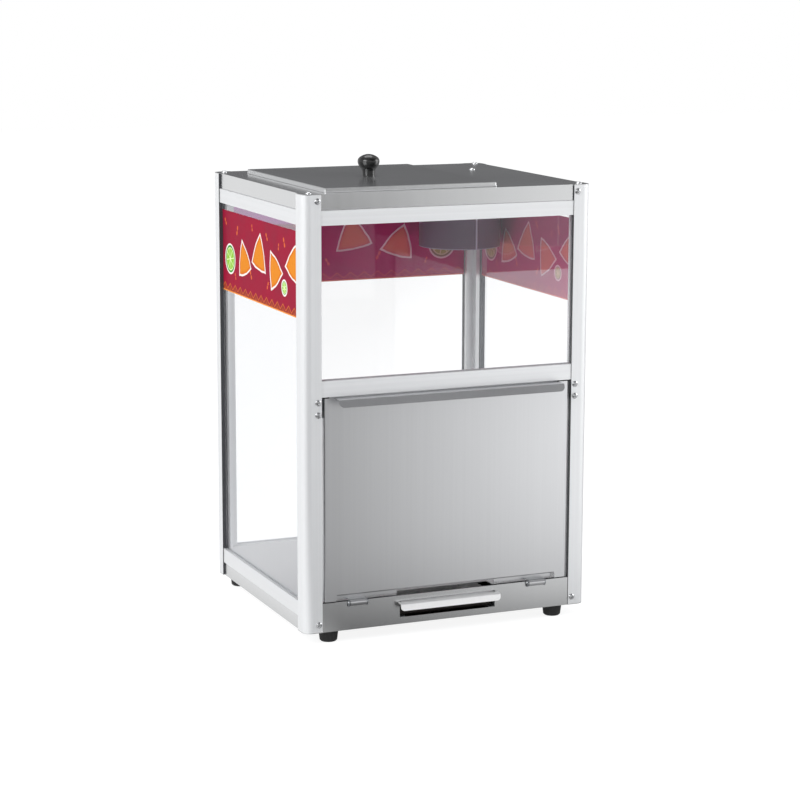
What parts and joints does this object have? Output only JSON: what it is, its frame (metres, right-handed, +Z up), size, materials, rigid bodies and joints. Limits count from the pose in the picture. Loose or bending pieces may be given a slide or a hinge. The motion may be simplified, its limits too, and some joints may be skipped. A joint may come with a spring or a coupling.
{
  "type": "chip warmer",
  "caption": "Counter-top chip warmer: glazed cabinet with printed header bands, bottom-hinged steel door, lift-off lid with knob, pull-out crumb tray and a lamp can.",
  "frame": {"origin": "centre of the bounding box at the level of the counter under the feet", "axes": "+X to the right as seen from the door side, +Y to the back, +Z up; the door side faces -Y"},
  "size_m": [0.406, 0.3824, 0.6204],
  "materials": {
    "post_aluminium": "satin anodised",
    "rail_aluminium": "satin anodised",
    "panel_steel": "brushed",
    "door_steel": "brushed",
    "lid_steel": "brushed",
    "tray_steel": "brushed",
    "galvanised": "galvanised",
    "acrylic": "clear, polished",
    "band_print": "printed film",
    "knob_plastic": "polished",
    "foot_rubber": "matt",
    "can_paint": "satin",
    "holder_ceramic": "glazed",
    "lamp_glass": "frosted",
    "screw_steel": "bright zinc",
    "black_plastic": "fine grain",
    "terminal_plastic": "moulded"
  },
  "bodies": {
    "cabinet": {"base_screws": "screw_steel", "bottom_pan": "panel_steel", "bracket_rivets": "screw_steel", "bushing_nut": "black_plastic", "can_nut": "screw_steel", "can_screw": "screw_steel", "catch_magnets": "black_plastic", "catch_nuts": "screw_steel", "catch_plates": "galvanised", "cord_bushing": "black_plastic", "corner_post_front_left": "post_aluminium", "corner_post_front_right": "post_aluminium", "corner_post_rear_left": "post_aluminium", "corner_post_rear_right": "post_aluminium", "floor_plate": "galvanised", "foot_nuts": "screw_steel", "foot_screws": "screw_steel", "front_window": "acrylic", "header_band_left": "band_print", "header_band_rear": "band_print", "header_band_right": "band_print", "heat_lamp": "lamp_glass", "hinge_bracket_left": "galvanised", "hinge_bracket_right": "galvanised", "hinge_pin_left": "screw_steel", "hinge_pin_right": "screw_steel", "lamp_can": "can_paint", "lampholder": "holder_ceramic", "left_pane": "acrylic", "low_corner_brackets": "galvanised", "low_rail_left": "rail_aluminium", "low_rail_rear": "rail_aluminium", "low_rail_right": "rail_aluminium", "mid_rail": "rail_aluminium", "post_screws": "screw_steel", "rear_pane": "acrylic", "right_pane": "acrylic", "rubber_feet": "foot_rubber", "switch_frame": "black_plastic", "terminal_block": "terminal_plastic", "top_corner_brackets": "galvanised", "top_panel": "panel_steel", "top_rail_front": "rail_aluminium", "top_rail_left": "rail_aluminium", "top_rail_rear": "rail_aluminium", "top_rail_right": "rail_aluminium", "top_screws": "screw_steel", "tray_runner_left": "galvanised", "tray_runner_right": "galvanised", "wiring_cover": "galvanised"},
    "door": {"door_skin": "door_steel", "hinge_leaf_left": "door_steel", "hinge_leaf_right": "door_steel"},
    "lid": {"lid": "lid_steel", "lid_knob": "knob_plastic", "knob_screw": "screw_steel", "knob_washer": "screw_steel"},
    "tray": {"crumb_tray": "tray_steel"},
    "rocker": {"switch_rocker": "black_plastic"}
  },
  "joints": [
    {"name": "door_hinge", "type": "hinge", "parent": "cabinet", "child": "door", "pos_m": [0, -0.17278, 0.053], "axis": [1, 0, 0], "range_deg": [0, 90]},
    {"name": "lid_lift", "type": "slide", "parent": "cabinet", "child": "lid", "axis": [0, 0, 1], "range_m": [0, 0.12]},
    {"name": "tray_slide", "type": "slide", "parent": "cabinet", "child": "tray", "axis": [0, -1, 0], "range_m": [0, 0.22]},
    {"name": "switch_rock", "type": "hinge", "parent": "cabinet", "child": "rocker", "pos_m": [0.138, 0.17722, 0.5755], "axis": [0, 0, -1], "range_deg": [0, 14]}
  ]
}
